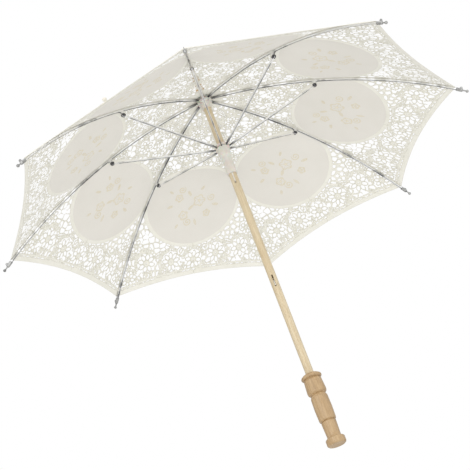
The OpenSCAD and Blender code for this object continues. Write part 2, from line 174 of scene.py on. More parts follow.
def new_finish(name):
    material = bpy.data.materials.new(name)
    material.use_nodes = True
    tree = material.node_tree
    return material, tree, tree.nodes["Principled BSDF"]


def colour_ramp(tree, value, stops):
    ramp = tree.nodes.new("ShaderNodeValToRGB")
    elements = ramp.color_ramp.elements
    while len(elements) < len(stops):
        elements.new(0.5)
    for element, (at, colour) in zip(elements, stops):
        element.position = at
        element.color = (*colour, 1)
    tree.links.new(value, ramp.inputs["Fac"])
    return ramp.outputs["Color"]


def tint(tree, colour, shade, amount, blend="MULTIPLY"):
    """Lays a shade over a colour, by an amount from 0 to 1."""
    node = tree.nodes.new("ShaderNodeMix")
    node.data_type = "RGBA"
    node.blend_type = blend
    node.inputs["B"].default_value = (*shade, 1)
    tree.links.new(amount, node.inputs["Factor"])
    tree.links.new(colour, node.inputs["A"])
    return node.outputs["Result"]


def bump(tree, shader, height, distance, strength):
    node = add(tree, "ShaderNodeBump", Distance=distance, Strength=strength)
    tree.links.new(height, node.inputs["Height"])
    tree.links.new(node.outputs["Normal"], shader.inputs["Normal"])


def lacquered_wood(name, pale, middle, deep, fibre, band, coat):
    """Clear-lacquered wood, from its palest to its deepest tone along the grain."""
    material, tree, shader = new_finish(name)
    grain = use_group(tree, wood_grain, Fibre_scale=fibre, Band_scale=band)
    colour = colour_ramp(tree, grain["Tone"], ((0.32, deep), (0.5, middle), (0.68, pale)))
    colour = tint(tree, colour, (0.82, 0.74, 0.62), grain["Pores"])
    tree.links.new(colour, shader.inputs["Base Color"])
    tree.links.new(spread(tree, grain["Tone"], result=(0.38, 0.52)), shader.inputs["Roughness"])
    bump(tree, shader, grain["Height"], 0.12 * MM, 0.35)
    shader.inputs["Coat Weight"].default_value = coat
    shader.inputs["Coat Roughness"].default_value = 0.25
    return material


def dress(names, material):
    """Gives several nodes of the frame one finish."""
    for name in names:
        mesh = nodes[name].data
        mesh.materials.clear()
        mesh.materials.append(material)


stick_finish = lacquered_wood(
    "pale_dowel", (0.76, 0.66, 0.48), (0.66, 0.55, 0.37), (0.55, 0.43, 0.26),
    fibre=70, band=9, coat=0.18,
)
dress(["stick"], stick_finish)

# ---- Handle and ferrule ----
# Both are turned on a lathe from a warmer wood: a bead, an undercut, a drum, a groove, a long
# barrel and an end knob on the handle, and a collar and a straight end on the ferrule.
turned_finish = lacquered_wood(
    "turned_wood", (0.56, 0.405, 0.225), (0.46, 0.31, 0.16), (0.34, 0.22, 0.105),
    fibre=46, band=6, coat=0.3,
)
dress(["handle", "ferrule"], turned_finish)


# ---- Nickel-plated steel: notch, wires, pins, ribs, stretchers, rivets and tips ----
# Ribs and stretchers are channels rolled from thin strip; the ends are pressed flat and pierced.
# The plating is bright with fine rubbed lines; darker patches are partly dull plating and partly painted
# reflection, and the channels carry painted shade.
def plating_group():
    """Fine rubbed lines and slow patches: puts out a mask of dull plating and painted dark reflection, and
    a height.
    """
    scales = {"Line scale": 900.0, "Patch scale": 60.0}
    group, start, end, place = new_group("plating_wear_and_reflections", scales, ("Dullness and reflection", "Height"))
    lines = noise(group, place, start["Line scale"], Detail=2.0)
    patch = noise(group, place, start["Patch scale"], Detail=3.0, Roughness=0.6)
    group.links.new(spread(group, patch, (0.42, 0.66)), end["Dullness and reflection"])
    group.links.new(lines, end["Height"])
    return group


plating_wear_and_reflections = plating_group()


def painted_channel_shade(tree, colour, dullness, channel_shade):
    """Paints shade into the insides of channels from an ambient occlusion mask, patchy and weaker beyond
    the cotton ovals, and darkens the steel strongly near the hinges.
    """
    hollow = add(tree, "ShaderNodeAmbientOcclusion", Distance=2.5 * MM)
    hollow.only_local = True
    hollow.samples = 8
    # Painted shade: the colour darkens where the channel's walls hide it from the room's light.
    in_channel = spread(tree, hollow.outputs["AO"], (0.45, 0.85), (channel_shade, 0.0))
    in_patches = spread(tree, dullness, result=(0.5, 1.0))
    place = tree.nodes.new("ShaderNodeTexCoord").outputs["Object"]
    sideways = vector_arithmetic(tree, "MULTIPLY", place, (1, 1, 0))["Vector"]
    from_axis = vector_arithmetic(tree, "LENGTH", sideways)["Value"]
    hinge_end = spread(tree, from_axis, (13 * MM, 24 * MM), (0.85, 0.0))
    outer_end = spread(tree, from_axis, (170 * MM, 225 * MM), (1.0, 0.35))
    painted_shade = arithmetic(tree, "MULTIPLY", arithmetic(tree, "MULTIPLY", in_channel, in_patches), outer_end)
    # Near the hinges the steel is darkened whatever its shape.
    painted_shade = arithmetic(tree, "MAXIMUM", painted_shade, hinge_end)
    return tint(tree, colour, (0.02, 0.02, 0.022), painted_shade, blend="MIX")


def plated_metal(name, bright, dull_and_dark_reflection, rough, patch=60, channel_shade=0.0):
    material, tree, shader = new_finish(name)
    shader.inputs["Metallic"].default_value = 0.8
    wear_and_reflection = use_group(tree, plating_wear_and_reflections, Patch_scale=patch)
    # Painted reflection: the colour runs from bright to dark over the patches, standing in for
    # reflections; the roughness over the same patches is real dullness.
    colour = colour_ramp(tree, wear_and_reflection["Dullness and reflection"], ((0.35, bright), (1, dull_and_dark_reflection)))
    if channel_shade:
        colour = painted_channel_shade(tree, colour, wear_and_reflection["Dullness and reflection"], channel_shade)
    tree.links.new(colour, shader.inputs["Base Color"])
    tree.links.new(spread(tree, wear_and_reflection["Dullness and reflection"], result=rough), shader.inputs["Roughness"])
    bump(tree, shader, wear_and_reflection["Height"], 0.02 * MM, 0.25)
    return material


def link_piece(name, mesh, material, crease=None):
    """A smooth piece in one finish, with edges sharper than the crease in degrees kept crisp."""
    mesh.polygons.foreach_set("use_smooth", np.ones(len(mesh.polygons), bool))
    if crease:
        mesh.set_sharp_from_angle(angle=math.radians(crease))
    mesh.materials.append(material)
    piece = bpy.data.objects.new(name, mesh)
    bpy.context.scene.collection.objects.link(piece)
    return piece


rib_steel = plated_metal(
    "nickel_steel", (0.97, 0.97, 0.97), (0.46, 0.46, 0.46), (0.28, 0.42), patch=46, channel_shade=0.97
)
strut_steel = plated_metal(
    "pale_nickel_steel", (0.97, 0.97, 0.97), (0.70, 0.70, 0.70), (0.28, 0.42), patch=60, channel_shade=0.7
)
rivet_steel = plated_metal("dark_rivet_steel", (0.12, 0.12, 0.13), (0.05, 0.05, 0.055), (0.25, 0.45))
cap_nickel = plated_metal("nickel_cap", (0.42, 0.42, 0.41), (0.2, 0.2, 0.2), (0.2, 0.38), patch=150)
catch_steel = plated_metal("catch_steel", (0.78, 0.75, 0.69), (0.66, 0.63, 0.58), (0.3, 0.45))
each_rib = range(1, 9)
dress(["notch_wire", "runner_wire"] + [f"rib_{i}" for i in each_rib], rib_steel)
dress(["notch_pin", "stop_pin", "top_catch_pin", "bottom_catch_pin"], catch_steel)
dress(["top_catch", "bottom_catch"], catch_steel)
dress([f"stretcher_{i}" for i in each_rib], strut_steel)
dress([f"rivet_{i}" for i in each_rib], rivet_steel)
dress([f"rib_tip_{i}" for i in each_rib], cap_nickel)

# ---- Saddle clips ----
# A dark folded clip is pinched on each saddle by the rivet's domed heads.
CLIP_R = 2.3 * MM
CLIP_LONG = 1.25
CLIP_EDGE = 0.94
CLIP_T = 0.35 * MM
HEAD_R = 1.35 * MM
HEAD_LOW = 0.6
SADDLE_HALF = 1.25 * MM


def clip_side(form, side):
    """One cheek of the clip, against the saddle, with the rivet's flattened dome on it."""
    cheek = bmesh.ops.create_cone(
        form, cap_ends=True, segments=40, radius1=CLIP_R, radius2=CLIP_R * CLIP_EDGE, depth=CLIP_T
    )["verts"]
    for vert in cheek:
        vert.co.x *= CLIP_LONG
    dome = bmesh.ops.create_uvsphere(form, u_segments=24, v_segments=12, radius=HEAD_R)["verts"]
    for vert in dome:
        vert.co.z = max(vert.co.z, 0) * HEAD_LOW + CLIP_T / 2
    stand = Matrix.Translation((0, side * (SADDLE_HALF + CLIP_T / 2), 0))
    stand = stand @ Matrix.Rotation(-side * math.pi / 2, 4, "X")
    bmesh.ops.transform(form, matrix=stand, verts=cheek + dome)


for i in each_rib:
    clip_form = bmesh.new()
    for side in (-1, 1):
        clip_side(clip_form, side)
    bmesh.ops.remove_doubles(clip_form, verts=clip_form.verts, dist=1e-7)
    place = Matrix.Translation(joint_at[f"stretcher_{i}_hinge"])
    place = place @ Matrix.Rotation((i - 1) * math.pi / 4, 4, "Z")
    bmesh.ops.transform(clip_form, matrix=place, verts=clip_form.verts)
    clip_mesh = bpy.data.meshes.new(f"saddle_clip_{i}")
    clip_form.to_mesh(clip_mesh)
    clip = link_piece(f"saddle_clip_{i}", clip_mesh, rivet_steel, crease=40)
    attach(clip, f"rib_{i}")


# ---- Runner ----
# Moulded in one piece from milky white plastic, with a slotted crown for the stretchers,
# a collar with the catch groove inside, and a long sleeve that slides on the stick.
def milky_plastic(name, colour, warm):
    material, tree, shader = new_finish(name)
    place = tree.nodes.new("ShaderNodeTexCoord").outputs["Object"]
    cloud = noise(tree, place, 120.0, Detail=3.0)
    grain = noise(tree, place, 1400.0, Detail=1.0)
    ramp = colour_ramp(tree, cloud, ((0.35, warm), (0.65, colour)))
    tree.links.new(ramp, shader.inputs["Base Color"])
    tree.links.new(spread(tree, cloud, result=(0.26, 0.42)), shader.inputs["Roughness"])
    bump(tree, shader, grain, 0.03 * MM, 0.3)
    shader.inputs["Subsurface Weight"].default_value = 0.25
    shader.inputs["Subsurface Scale"].default_value = 2 * MM
    return material


dress(["runner", "top_notch"], milky_plastic("milky_plastic", (0.77, 0.74, 0.69), (0.71, 0.67, 0.60)))

# ---- The shape of the stretched cloth ----
# Eight ribs bow under the pull of the cloth, each an arc through its hinge and its tip, and
# between two ribs the cloth is pulled straight across, with a slight hollow and a curved-in hem.
RIBS = 8
PITCH = 2 * math.pi / RIBS
HALF = PITCH / 2
BOW_R = 600.0
CANOPY_R = 310.0
CANOPY_DROP = 126.0
TIP_L = 14.0
RIB_H = 2.0
RIB_W = 2.5
CLOTH_GAP = 0.3
CORNER_GAP = 0.6
HEM_SAG = 10.0
GORE_SAG = 3.0
START_R = 12.0
hinge = joint_at["rib_1_hinge"]
hinge_r = hinge.x / MM
hinge_z = hinge.z / MM
reach = CANOPY_R - hinge_r
chord = math.hypot(reach, CANOPY_DROP)
bow_height = math.sqrt(BOW_R**2 - chord**2 / 4)
bow_x = hinge_r + reach / 2 - bow_height * CANOPY_DROP / chord
bow_z = -CANOPY_DROP / 2 - bow_height * reach / chord
ball_turn = math.acos((CANOPY_R - bow_x) / BOW_R)
crease = RIB_W / 2 * (math.sin(HALF) / math.tan(ball_turn) + 0.07 * GORE_SAG)
cloth_low = RIB_H / 2 + crease + CLOTH_GAP
corner_r = bow_x + (BOW_R + cloth_low) * math.cos(ball_turn + TIP_L / BOW_R) - CORNER_GAP


def turn_at(r, off):
    return np.arccos((r - bow_x) / (BOW_R + off))


def hem_r(share):
    return corner_r - HEM_SAG * (1 - (1 - share) ** 2)


def on_cloth(p, y, lift):
    """Places points of one rib's panel: p is the bow's radius there, y the distance along the
    straight line to the next rib, and lift the height over the cloth's low face, all in mm."""
    p = np.asarray(p, float)
    share = np.clip(np.abs(y) / (p * math.sin(HALF)), 0, 1)
    off = cloth_low + lift
    turn = turn_at(p, off)
    start = turn_at(START_R, cloth_low)
    u = np.clip((turn - start) / (turn_at(hem_r(share), off) - start), 0, 1)
    hollow = GORE_SAG * share * (2 - share) * np.sin(math.pi * u)
    x = p * (1 - share * (1 - math.cos(PITCH)) / 2)
    across = np.sign(y) * p * share * math.sin(PITCH) / 2
    z = bow_z + (BOW_R + off) * np.sin(turn) - hollow
    return np.stack([x, across, z + hinge_z], axis=-1) * MM


# ---- How lace and cloth are cut from a pattern ----
# A pattern says how far each point of the flat gore is inside the thread, in mm. The cloth is
# laid out on a fine grid over a rib's panel and cut along the line where the pattern is nought.
CORNERS = ((0, 0), (1, 0), (1, 1), (0, 1))


def cell_walk(case):
    """Goes round a grid cell: corners inside the pattern and cut edges, in order."""
    walk = []
    for k in range(4):
        here = case >> k & 1
        after = case >> (k + 1) % 4 & 1
        if here:
            walk.append(("corner", k))
        if here != after:
            walk.append(("edge", k))
    return walk


def cut_edges(value, grid_p, grid_y, first_id):
    """Points where the pattern's edge crosses the grid's lines, with an id for each crossing."""
    inside = value > 0
    found_p, found_y, ids_by_axis = [], [], []
    next_id = first_id
    for axis in (0, 1):
        a = [slice(None), slice(None)]
        b = [slice(None), slice(None)]
        a[axis] = slice(0, value.shape[axis] - 1)
        b[axis] = slice(1, value.shape[axis])
        a, b = tuple(a), tuple(b)
        crossed = inside[a] != inside[b]
        ids = np.full(crossed.shape, -1)
        ids[crossed] = next_id + np.arange(crossed.sum())
        next_id += int(crossed.sum())
        at = np.clip(value[a][crossed] / (value[a][crossed] - value[b][crossed]), 0.02, 0.98)
        found_p.append(grid_p[a][crossed] + at * (grid_p[b][crossed] - grid_p[a][crossed]))
        found_y.append(grid_y[a][crossed] + at * (grid_y[b][crossed] - grid_y[a][crossed]))
        ids_by_axis.append(ids)
    return found_p, found_y, ids_by_axis, next_id


def cut_cells(inside, corner_id, edge_id):
    """Faces of the cut sheet, cell by cell, and the short edges that the cut leaves open."""
    rows, cols = inside.shape
    case = sum(
        inside[di : rows - 1 + di, dj : cols - 1 + dj].astype(int) << k
        for k, (di, dj) in enumerate(CORNERS)
    )
    faces, rims = [], []
    for kind_of_cell in range(1, 16):
        row, col = np.nonzero(case == kind_of_cell)
        if not len(row):
            continue
        walk = cell_walk(kind_of_cell)
        ring = []
        for kind, k in walk:
            if kind == "corner":
                di, dj = CORNERS[k]
                ring.append(corner_id[row + di, col + dj])
            elif k in (0, 2):
                ring.append(edge_id[0][row, col + (1 if k == 2 else 0)])
            else:
                ring.append(edge_id[1][row + (1 if k == 1 else 0), col])
        faces.append(np.stack(ring, axis=1))
        for n, (kind, k) in enumerate(walk):
            following = (n + 1) % len(walk)
            if kind == "edge" and walk[following][0] == "edge":
                rims.append(np.stack([ring[n], ring[following]], axis=1))
    return faces, rims


def cut_from_pattern(pattern, step, low, high, p_range, y_reach):
    """Returns points, faces and depth of a closed sheet. low and high give the two faces' lift from
    the distance inside the thread. pattern takes m, along the gore's middle, and t, across it."""
    p_line = np.arange(p_range[0], p_range[1] + step, step)
    count = int(math.ceil(y_reach / step))
    y_line = np.arange(-count, count + 1) * step
    grid_p, grid_y = np.meshgrid(p_line, y_line, indexing="ij")
    to_middle = grid_p * math.sin(HALF) - np.abs(grid_y)
    side = np.where(grid_y >= 0, 1.0, -1.0)
    value = pattern(grid_p * math.cos(HALF), -side * to_middle, grid_p, np.abs(grid_y))
    value = np.minimum(value, to_middle)
    value = np.where(np.abs(value) < 1e-4, 1e-4, value)
    inside = value > 0
    kept = int(inside.sum())
    corner_id = np.full(value.shape, -1)
    corner_id[inside] = np.arange(kept)
    edge_p, edge_y, edge_id, total = cut_edges(value, grid_p, grid_y, kept)
    p_all = np.concatenate([grid_p[inside], *edge_p])
    y_all = np.concatenate([grid_y[inside], *edge_y])
    depth = np.concatenate([value[inside], np.zeros(total - kept)])
    faces, rims = cut_cells(inside, corner_id, edge_id)
    points = np.concatenate([on_cloth(p_all, y_all, high(depth)), on_cloth(p_all, y_all, low(depth))])
    polygons = []
    for block in faces:
        polygons += block.tolist()
        polygons += (block[:, ::-1] + total).tolist()
    for block in rims:
        a, b = block[:, 0], block[:, 1]
        polygons += np.stack([b, a, a + total, b + total], axis=1).tolist()
    return points, polygons, np.concatenate([depth, depth])


def panel_piece(name, sheet, rib, material):
    """One rib's copy of a cut sheet, turned to its rib."""
    points, polygons, depth = sheet
    turned = points @ np.array(Matrix.Rotation((rib - 1) * PITCH, 3, "Z")).T
    mesh = bpy.data.meshes.new(name)
    mesh.from_pydata(turned.tolist(), [], polygons)
    mesh.attributes.new("thread_depth", "FLOAT", "POINT").data.foreach_set("value", depth)
    return link_piece(name, mesh, material, crease=50)


def fold_with_rib(piece):
    """Gives the piece its own copy of its mesh."""
    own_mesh(piece)


# ---- Lace ----
# Machine-made tape lace in ivory cotton. Flowers with looped petals, scrolls and ribbed leaves
# are held apart by thin twisted bars. A tape edges the hem, the ribs and each cotton oval.
# Each motif's first two numbers are its place along the gore's middle and across it, in mm.
OVAL_M = 173.0
OVAL_LONG = 54.5
OVAL_WIDE = 66.5
OVAL_SEAM = 1.2
HEM_TAPE = 5.4
RIB_TAPE = 2.6
OVAL_TAPE = 3.9
HEM_CORD_GAP = 2.4
CROWN_CLOTH_R = 27
FLOWERS = (
    (249, 0, 12, 8, 0.2), (247, 33, 13, 9, 0.0), (246, -34, 13, 9, 0.4), (243, 69, 12.5, 8, 0.1),
    (245, -70, 12.5, 8, 0.5), (219, 82, 9, 7, 0.3), (221, -81, 9, 7, 0.0), (259, 97, 10, 8, 0.2),
    (258, -98, 10, 8, 0.6), (94, 13, 10, 8, 0.0), (92, -15, 10, 7, 0.3), (64, 0, 9, 8, 0.1),
    (114, 38, 7, 7, 0.2), (113, -38, 7, 7, 0.5),
)
LEAVES = (
    (235, 50, 20, 8, 1.2), (234, -52, 20, 8, -1.2), (262, 51, 16, 6, 0.1), (263, -52, 16, 6, -0.1),
    (257, 17, 15, 6, 0.5), (258, -17, 15, 6, -0.5), (232, 92, 18, 7, 1.9), (233, -92, 18, 7, -1.9),
    (266, 80, 16, 6, 0.4), (266, -80, 16, 6, -0.4), (205, 80, 13, 5, 0.4), (205, -80, 13, 5, -0.4),
    (110, 16, 13, 6, 0.9), (110, -17, 13, 6, -0.9), (42, 0, 22, 9, 0.0), (78, 24, 20, 8, 0.38),
    (77, -25, 20, 8, -0.38), (58, 17, 16, 6, 0.35), (57, -17, 16, 6, -0.35), (128, 47, 10, 5, 0.4),
    (128, -47, 10, 5, -0.4), (26, 5, 11, 5, 0.2), (25, -5, 11, 5, -0.2),
)
TAPES = (
    (249, 0, 15.5, 100, 262), (247, 33, 16.5, 20, 215), (246, -34, 16.5, 145, 340),
    (243, 69, 15.5, 60, 230), (245, -70, 15.5, 130, 300), (219, 82, 11.5, -20, 160),
    (221, -81, 11.5, 200, 380), (259, 97, 12.5, 60, 250), (258, -98, 12.5, 110, 300),
    (94, 13, 13.5, -60, 150), (92, -15, 13, 210, 420), (64, 0, 12, 60, 300), (114, 38, 9.5, -90, 130),
    (113, -38, 9.5, 230, 450), (262, 51, 13, 190, 350), (263, -52, 13, 10, 170),
)
SCROLLS = (
    (236, 17, 7, 1), (235, -18, 7, -1), (227, 66, 6, -1), (228, -66, 6, 1), (258, 69, 6, 1), (79, 0, 6, 1),
)
ABSENT = -9.0
OPEN = -0.5
RIM_WIDTH = 1.1


def turned_to(m, t, at_m, at_t, turn):
    """Coordinates along and across a motif that is turned in the gore."""
    dm, dt = m - at_m, t - at_t
    return dm * math.cos(turn) + dt * math.sin(turn), -dm * math.sin(turn) + dt * math.cos(turn)


def ellipse(x, y, long_half, wide_half):
    return (1 - np.sqrt((x / long_half) ** 2 + (y / wide_half) ** 2)) * wide_half


def flower(m, t, at_m, at_t, size, petals, turn):
    """A ring of looped petals round a pierced heart."""
    dm, dt = m - at_m, t - at_t
    rho = np.hypot(dm, dt)
    step = 2 * math.pi / petals
    theta = np.mod(np.arctan2(dt, dm) + turn, step) - step / 2
    x = rho * np.cos(theta) - 0.64 * size
    y = rho * np.sin(theta)
    long_half = 0.38 * size
    wide_half = 0.6076 * size * math.tan(step / 2)
    opening = ellipse(x, y, long_half - 1.3, wide_half - 1.0)
    petal = np.minimum(ellipse(x, y, long_half, wide_half), -opening)
    heart_hole = 1.0
    heart = np.minimum(0.3 * size - rho, rho - heart_hole)
    return np.maximum(petal, heart)


def tape_arc(m, t, at_m, at_t, radius, start, end):
    """A woven tape with a row of slits, round part of a circle, from start to end in degrees."""
    dm, dt = m - at_m, t - at_t
    theta = np.mod(np.degrees(np.arctan2(dt, dm)) - start, 360)
    off = np.abs(np.hypot(dm, dt) - radius)
    half_tape, slit_gap, slit_long, slit_wide = 2.25, 3.4, 1.35, 0.95
    along = np.mod(np.radians(theta) * radius, slit_gap) - slit_gap / 2
    slit = (1 - np.sqrt((along / slit_wide) ** 2 + (off / slit_long) ** 2)) * slit_wide
    band = np.minimum(half_tape - off, -slit)
    return np.where(theta <= end - start, band, ABSENT)


def leaf(m, t, at_m, at_t, length, width, turn):
    """A pointed leaf with a middle vein and slanting rungs."""
    x, y = turned_to(m, t, at_m, at_t, turn)
    half = length / 2
    edge = width / 2 * (1 - (x / half) ** 2) - np.abs(y)
    rung_gap, rung_half, border, vein_half, slant = 3.1, 0.62, 1.1, 0.55, 0.7
    hole_x = np.abs(np.mod(x + np.abs(y) * slant, rung_gap) - rung_gap / 2)
    hole = np.minimum(rung_gap / 2 - rung_half - hole_x, np.minimum(edge - border, np.abs(y) - vein_half))
    return np.minimum(edge, -hole)


def scroll(m, t, at_m, at_t, size, hand):
    """A cord that curls into its centre; hand is 1 or -1."""
    dm, dt = m - at_m, t - at_t
    rho = np.hypot(dm, dt)
    theta = np.mod(hand * np.arctan2(dt, dm), 2 * math.pi)
    pitch, half_cord = size / 1.9, 0.75
    laps = np.mod(rho - pitch * theta / (2 * math.pi), pitch)
    return np.minimum(half_cord - np.abs(laps - pitch / 2), size - rho)


def bar_net(m, t):
    """Thin bars between the motifs, in uneven cells, thicker in drifts and near the crown."""
    rng = np.random.default_rng(7)
    cell, widest = 7.4, 126
    gm, gt = np.meshgrid(np.arange(0, 285, cell), np.arange(-widest, widest + 1, cell), indexing="ij")
    sites = np.stack([gm.ravel(), gt.ravel()], axis=1) + rng.uniform(-0.42, 0.42, (gm.size, 2)) * cell
    sites = sites.reshape(gm.shape[0], gm.shape[1], 2)
    near = np.full(m.shape, 1e9)
    second = np.full(m.shape, 1e9)
    base_i = np.round(m / cell).astype(int)
    base_j = np.round((t + widest) / cell).astype(int)
    reach_cells = 2
    for di in range(-reach_cells, reach_cells + 1):
        for dj in range(-reach_cells, reach_cells + 1):
            i = np.clip(base_i + di, 0, gm.shape[0] - 1)
            j = np.clip(base_j + dj, 0, gm.shape[1] - 1)
            away = np.hypot(m - sites[i, j, 0], t - sites[i, j, 1])
            new = np.minimum(near, away)
            runner_up = np.minimum(second, np.where(away > near, away, second))
            second = np.where(away < near, near, runner_up)
            near = new
    drift = np.sin(m / 8.5 + 1.3 * np.sin(t / 13)) * np.sin(t / 9.5 + 1.1 * np.sin(m / 15))
    drift += 0.5 * np.sin(m / 5.1 - t / 6.3)
    by_crown = 0.7 * np.clip((75 - m) / 30, 0, 1)
    return 0.72 + 0.34 * drift + by_crown - (second - near) / 2


def oval_far(m, t):
    """Rough distance outside the cotton oval's edge, in mm."""
    far = np.sqrt(((m - OVAL_M) / OVAL_LONG) ** 2 + (t / OVAL_WIDE) ** 2)
    return (far - 1) * 60.0


def lace_pattern(m, t, p, y):
    share = np.clip(y / (p * math.sin(HALF)), 0, 1)
    to_hem = (hem_r(share) - p) * 0.95
    inside = bar_net(m, t)
    clear = np.full(m.shape, ABSENT)
    for spot in FLOWERS:
        inside = np.where(np.hypot(m - spot[0], t - spot[1]) < spot[2] * 1.03, OPEN, inside)
        clear = np.maximum(clear, flower(m, t, *spot))
    for at_m, at_t, length, width, turn in LEAVES:
        made = leaf(m, t, at_m, at_t, length, width, turn)
        x, across = turned_to(m, t, at_m, at_t, turn)
        covers = np.abs(across) < width / 2 * (1 - (x / (length / 2)) ** 2)
        inside = np.where(covers, OPEN, inside)
        clear = np.where(covers & (clear < 0), made, np.maximum(clear, np.where(covers, clear, made)))
    for spot in SCROLLS:
        clear = np.maximum(clear, scroll(m, t, *spot))
    for spot in TAPES:
        clear = np.maximum(clear, tape_arc(m, t, *spot))
    outside_oval = oval_far(m, t)
    hem_tape = np.minimum(to_hem, HEM_TAPE - to_hem)
    hem_cord = 1.0 - np.abs(to_hem - HEM_TAPE - HEM_CORD_GAP)
    oval_tape = np.minimum(outside_oval + OVAL_SEAM, OVAL_TAPE - outside_oval)
    for band in (clear, hem_tape, hem_cord, RIB_TAPE - y, oval_tape, CROWN_CLOTH_R - p):
        inside = np.maximum(inside, band)
    for limit in (outside_oval + OVAL_SEAM, to_hem, p - START_R):
        inside = np.minimum(inside, limit)
    return inside


def lace_high(depth):
    return 0.46 + 0.26 * np.clip(depth / RIM_WIDTH, 0, 1)


def lace_low(depth):
    return 0.34 - 0.26 * np.clip(depth / RIM_WIDTH, 0, 1)


def thread_group():
    """Crossing threads at right angles and an uneven tone: puts out a tone and a height."""
    scales = {"Thread scale": 900.0, "Tone scale": 40.0}
    group, start, end, place = new_group("cotton_threads", scales, ("Tone", "Height"))
    waves = []
    for direction in ("X", "Y"):
        wave = add(group, "ShaderNodeTexWave", Distortion=1.2, Detail=1)
        wave.bands_direction = direction
        group.links.new(place, wave.inputs["Vector"])
        group.links.new(start["Thread scale"], wave.inputs["Scale"])
        waves.append(wave.outputs["Fac"])
    group.links.new(arithmetic(group, "MAXIMUM", *waves), end["Height"])
    tone = noise(group, place, start["Tone scale"], Detail=5.0, Roughness=0.65)
    group.links.new(tone, end["Tone"])
    return group


cotton_threads = thread_group()


def cotton(name, pale, deep, threads=900.0, tone=40.0, rim=None):
    """Matt cotton thread; rim is the tone and width of painted shade along each thread's edge, where its
    sides slope away, and it fades inside the thread.
    """
    material, tree, shader = new_finish(name)
    cloth = use_group(tree, cotton_threads, Thread_scale=threads, Tone_scale=tone)
    colour = colour_ramp(tree, cloth["Tone"], ((0.3, deep), (0.7, pale)))
    # Painted shade: the cloth's colour is darker where the threads dip, between them.
    colour = tint(tree, colour, (0.9, 0.88, 0.84), spread(tree, cloth["Height"], result=(0.8, 0.0)))
    # Painted shade: the thread is darker towards its edge.
    if rim:
        edge_shade_tone, edge_shade_width = rim
        edge = tree.nodes.new("ShaderNodeAttribute")
        edge.attribute_name = "thread_depth"
        edge_shade = spread(tree, edge.outputs["Fac"], (0.0, edge_shade_width), (1.0, 0.0))
        colour = tint(tree, colour, edge_shade_tone, edge_shade)
    tree.links.new(colour, shader.inputs["Base Color"])
    bump(tree, shader, cloth["Height"], 0.1 * MM, 0.5)
    shader.inputs["Roughness"].default_value = 0.9
    shader.inputs["Sheen Weight"].default_value = 0.25
    shader.inputs["Sheen Roughness"].default_value = 0.5
    shader.inputs["Specular IOR Level"].default_value = 0.2
    return material


# The lace's rim darkens the edges of its threads with painted shade.
lace_cotton = cotton(
    "ivory_lace", (0.95, 0.935, 0.87), (0.90, 0.885, 0.80),
    threads=1100, rim=((0.76, 0.75, 0.71), 0.62),
)
lace_step = 1.1
panel_reach = corner_r * math.sin(HALF) + 2
lace_sheet = cut_from_pattern(
    lace_pattern, lace_step, lace_low, lace_high, (START_R - 2, corner_r + 2), panel_reach
)
lace_panels = {}
for i in each_rib:
    piece = panel_piece(f"lace_panel_{i}", lace_sheet, i, lace_cotton)
    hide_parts(f"canopy_panel_{i}")
    lace_panels[i] = piece

# ---- Cotton ovals ----
# A plain white cotton oval is let into each gore, held all round by the lace tape.
# Its halves meet at the gore's middle, and each half hangs on its own rib.
oval_cotton = cotton("plain_cotton", (0.86, 0.835, 0.785), (0.82, 0.795, 0.74), threads=300, tone=14)


def oval_pattern(m, t, p, y):
    return -oval_far(m, t)


def flat_high(depth):
    return np.full_like(depth, 0.52)


def flat_low(depth):
    return np.full_like(depth, 0.26)


oval_sheet = cut_from_pattern(oval_pattern, 3.0, flat_low, flat_high, (100.0, 260.0), panel_reach)
oval_pieces = {}
for i in each_rib:
    piece = panel_piece(f"cotton_oval_{i}", oval_sheet, i, oval_cotton)
    oval_pieces[i] = piece

# ---- Embroidery ----
# Each oval carries a spray of flowers, leaves and curling stems in satin stitch, in thread a
# little warmer than the cotton. The stitches stand proud on both faces of the cloth.
SPRAY_FLOWERS = (
    (168, -9, 9.5, 5, 0.3), (186, 14, 7.5, 5, 0.9), (160, 20, 6.5, 5, 0.0), (188, -20, 6, 5, 0.5),
)
SPRAY_LEAVES = (
    (176, 3, 13, 4, 0.9), (155, 5, 13, 4, -0.5), (150, -14, 11, 3.6, 0.8), (198, -3, 12, 3.6, -0.3),
    (171, 33, 12, 3.6, 1.3), (178, -33, 13, 3.8, 1.8), (200, 24, 10, 3.2, 0.7), (150, 31, 10, 3.2, -0.9),
)
SPRAY_CURLS = ((196, 8, 6, 1), (148, 16, 5.5, -1), (166, -27, 6, 1))
STITCH_ROW = 1.7
RAY_HALF = 0.42
VEIN_HALF = 0.28


def spray_pattern(m, t, p, y):
    stitched = np.full(m.shape, ABSENT)
    for at_m, at_t, size, petals, turn in SPRAY_FLOWERS:
        dm, dt = m - at_m, t - at_t
        rho = np.hypot(dm, dt)
        theta = np.arctan2(dt, dm) + turn
        rim = size * (0.68 + 0.3 * np.abs(np.cos(theta * petals / 2)))
        bloom = np.minimum(rim - rho, rho - rim + STITCH_ROW)
        rays = np.minimum(RAY_HALF - rho * np.abs(np.sin(theta * petals / 2)) / petals * 2, rim - rho)
        stitched = np.maximum(stitched, np.maximum(bloom, np.maximum(rays, 0.2 * size - rho)))
    for at_m, at_t, length, width, turn in SPRAY_LEAVES:
        x, across = turned_to(m, t, at_m, at_t, turn)
        blade = width / 2 * (1 - (2 * x / length) ** 2) - np.abs(across)
        vein = VEIN_HALF - np.abs(across)
        stitched = np.maximum(stitched, np.minimum(blade, -vein))
    for spot in SPRAY_CURLS:
        stitched = np.maximum(stitched, scroll(m, t, *spot))
    return stitched


def stitch_high(depth):
    return 0.50 + 0.34 * np.clip(depth, 0, 1)


def stitch_low(depth):
    return 0.28 - 0.34 * np.clip(depth, 0, 1)


